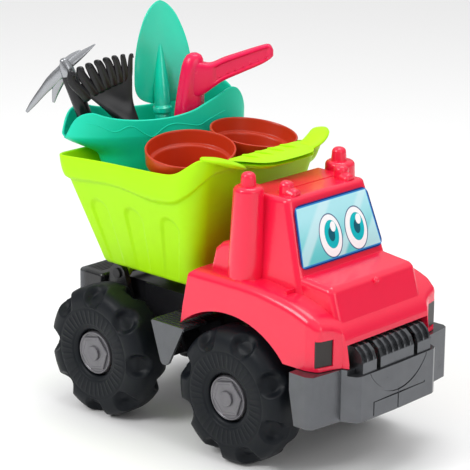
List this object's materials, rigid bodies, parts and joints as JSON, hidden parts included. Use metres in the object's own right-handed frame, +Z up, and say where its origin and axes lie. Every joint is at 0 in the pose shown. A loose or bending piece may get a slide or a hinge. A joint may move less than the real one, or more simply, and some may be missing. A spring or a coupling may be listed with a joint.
{
  "type": "toy tipper truck with garden tools",
  "caption": "Toy tipper truck with rolling wheels and a tilting bed that carries a tub, flower pots and lift-out garden hand tools.",
  "frame": {"origin": "on the ground, at the middle of the whole object's bounding box seen from above", "axes": "+X towards the truck's front, +Y to the truck's left, +Z up"},
  "size_m": [0.4058, 0.1994, 0.393],
  "materials": {
    "cab_red": "glossy",
    "chassis_grey": "satin",
    "bed_lime": "satin",
    "wheel_black": "satin",
    "cap_grey": "satin",
    "sticker": "glossy",
    "tub_teal": "satin",
    "pot_terracotta": "satin",
    "tool_black": "glossy",
    "tool_grey": "glossy",
    "spout_red": "glossy",
    "steel": "satin"
  },
  "bodies": {
    "truck": {"chassis": "chassis_grey", "front_bumper": "chassis_grey", "cab_shell": "cab_red", "windscreen_sticker": "sticker", "head_lamp_panes": "chassis_grey", "cab_screws": "steel", "front_axle": "steel", "rear_axle": "steel", "axle_push_nuts": "steel", "bed_hinge_pin": "steel"},
    "bed": {"dump_bed": "bed_lime"},
    "tub": {"garden_tub": "tub_teal"},
    "right_pot": {"pot_right": "pot_terracotta"},
    "left_pot": {"pot_left": "pot_terracotta"},
    "trowel_body": {"trowel": "tub_teal"},
    "rake": {"fan_rake": "tool_black"},
    "hoe": {"hoe_handle": "tool_black", "hoe_head": "tool_grey"},
    "spout": {"watering_spout": "spout_red"},
    "wheel_front_right_body": {"wheel_front_right": "wheel_black", "hub_cap_front_right": "cap_grey"},
    "wheel_front_left_body": {"wheel_front_left": "wheel_black", "hub_cap_front_left": "cap_grey"},
    "wheel_rear_right_body": {"wheel_rear_right": "wheel_black", "hub_cap_rear_right": "cap_grey"},
    "wheel_rear_left_body": {"wheel_rear_left": "wheel_black", "hub_cap_rear_left": "cap_grey"}
  },
  "joints": [
    {"name": "spin_front_right", "type": "hinge", "parent": "truck", "child": "wheel_front_right_body", "pos_m": [0.0794, -0.0767, 0.065], "axis": [0, 1, 0], "continuous": true},
    {"name": "spin_front_left", "type": "hinge", "parent": "truck", "child": "wheel_front_left_body", "pos_m": [0.0794, 0.0767, 0.065], "axis": [0, 1, 0], "continuous": true},
    {"name": "spin_rear_right", "type": "hinge", "parent": "truck", "child": "wheel_rear_right_body", "pos_m": [-0.0969, -0.0767, 0.065], "axis": [0, 1, 0], "continuous": true},
    {"name": "spin_rear_left", "type": "hinge", "parent": "truck", "child": "wheel_rear_left_body", "pos_m": [-0.0969, 0.0767, 0.065], "axis": [0, 1, 0], "continuous": true},
    {"name": "bed_tip", "type": "hinge", "parent": "truck", "child": "bed", "pos_m": [-0.1176, 0, 0.13], "axis": [0, -1, 0], "range_deg": [0, 50]},
    {"name": "tub_lift", "type": "slide", "parent": "bed", "child": "tub", "axis": [0, 0, 1], "range_m": [0, 0.15]},
    {"name": "right_pot_lift", "type": "slide", "parent": "bed", "child": "right_pot", "axis": [0.1277, -0.1346, 0.9826], "range_m": [0, 0.12]},
    {"name": "left_pot_lift", "type": "slide", "parent": "bed", "child": "left_pot", "axis": [0.1386, 0.0297, 0.9899], "range_m": [0, 0.03]},
    {"name": "trowel_lift", "type": "slide", "parent": "tub", "child": "trowel_body", "axis": [-0.0921, 0.0599, 0.9939], "range_m": [0, 0.14]},
    {"name": "rake_lift", "type": "slide", "parent": "tub", "child": "rake", "axis": [-0.0231, -0.2655, 0.9638], "range_m": [0, 0.12]},
    {"name": "hoe_lift", "type": "slide", "parent": "tub", "child": "hoe", "axis": [-0.1588, -0.2985, 0.9411], "range_m": [0, 0.09]},
    {"name": "spout_lift", "type": "slide", "parent": "tub", "child": "spout", "axis": [0.1474, -0.0038, 0.9891], "range_m": [0, 0.12]}
  ]
}
